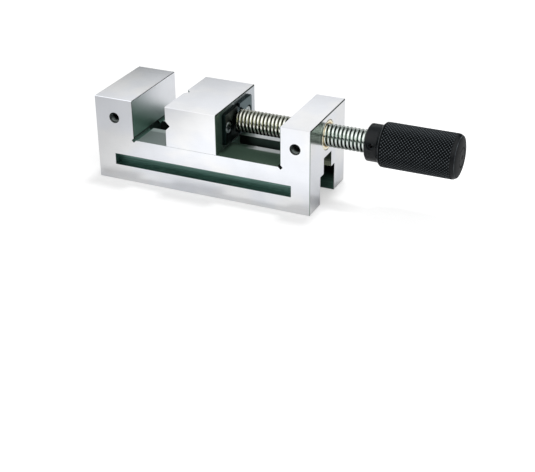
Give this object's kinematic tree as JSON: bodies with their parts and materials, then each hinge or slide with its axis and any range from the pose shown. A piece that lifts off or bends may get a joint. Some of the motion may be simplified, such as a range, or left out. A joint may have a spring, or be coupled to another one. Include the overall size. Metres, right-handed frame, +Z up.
{
  "type": "precision screw vise",
  "caption": "Ground steel precision screw vise: fixed jaw, base and end block in one piece, grooved sliding jaw moved by a lead screw with a knurled handle.",
  "frame": {"origin": "on the base plane, at the bottom centre of the whole vise's box at rest, handle included", "axes": "+X from the fixed jaw along the screw towards the handle, +Y across the jaws away from the lock screw's side, +Z up from the base"},
  "size_m": [0.2038, 0.05, 0.0496],
  "materials": {
    "ground_steel": "hardened and surface ground",
    "plate_steel": "ground",
    "lead_screw_steel": "turned and polished",
    "screw_steel": "plain steel fasteners",
    "bronze": "turned bronze",
    "black_oxide_steel": "black oxide, diamond knurled"
  },
  "bodies": {
    "base": {"vise_body": "ground_steel", "nut_bush": "bronze", "nut_lock_screw": "screw_steel"},
    "jaw": {"movable_jaw": "ground_steel", "retainer_plate_front": "plate_steel", "retainer_plate_rear": "plate_steel", "retainer_screw_front": "screw_steel", "retainer_screw_rear": "screw_steel", "hold_down_plate": "plate_steel", "hold_down_screw_left": "screw_steel", "hold_down_screw_right": "screw_steel"},
    "screw": {"lead_screw": "lead_screw_steel", "handle": "black_oxide_steel", "handle_pin": "screw_steel"}
  },
  "joints": [
    {"name": "jaw_slide", "type": "slide", "parent": "base", "child": "jaw", "axis": [1, 0, 0], "range_m": [-0.02025, 0.0353]},
    {"name": "screw_spin", "type": "hinge", "parent": "jaw", "child": "screw", "pos_m": [0.05145, 0, 0.0375], "axis": [1, 0, 0], "range_deg": [-3346, 5831]}
  ],
  "couplings": [
    {"joint": "screw_spin", "follows": "jaw_slide", "rad_per_m": 2882.2}
  ]
}
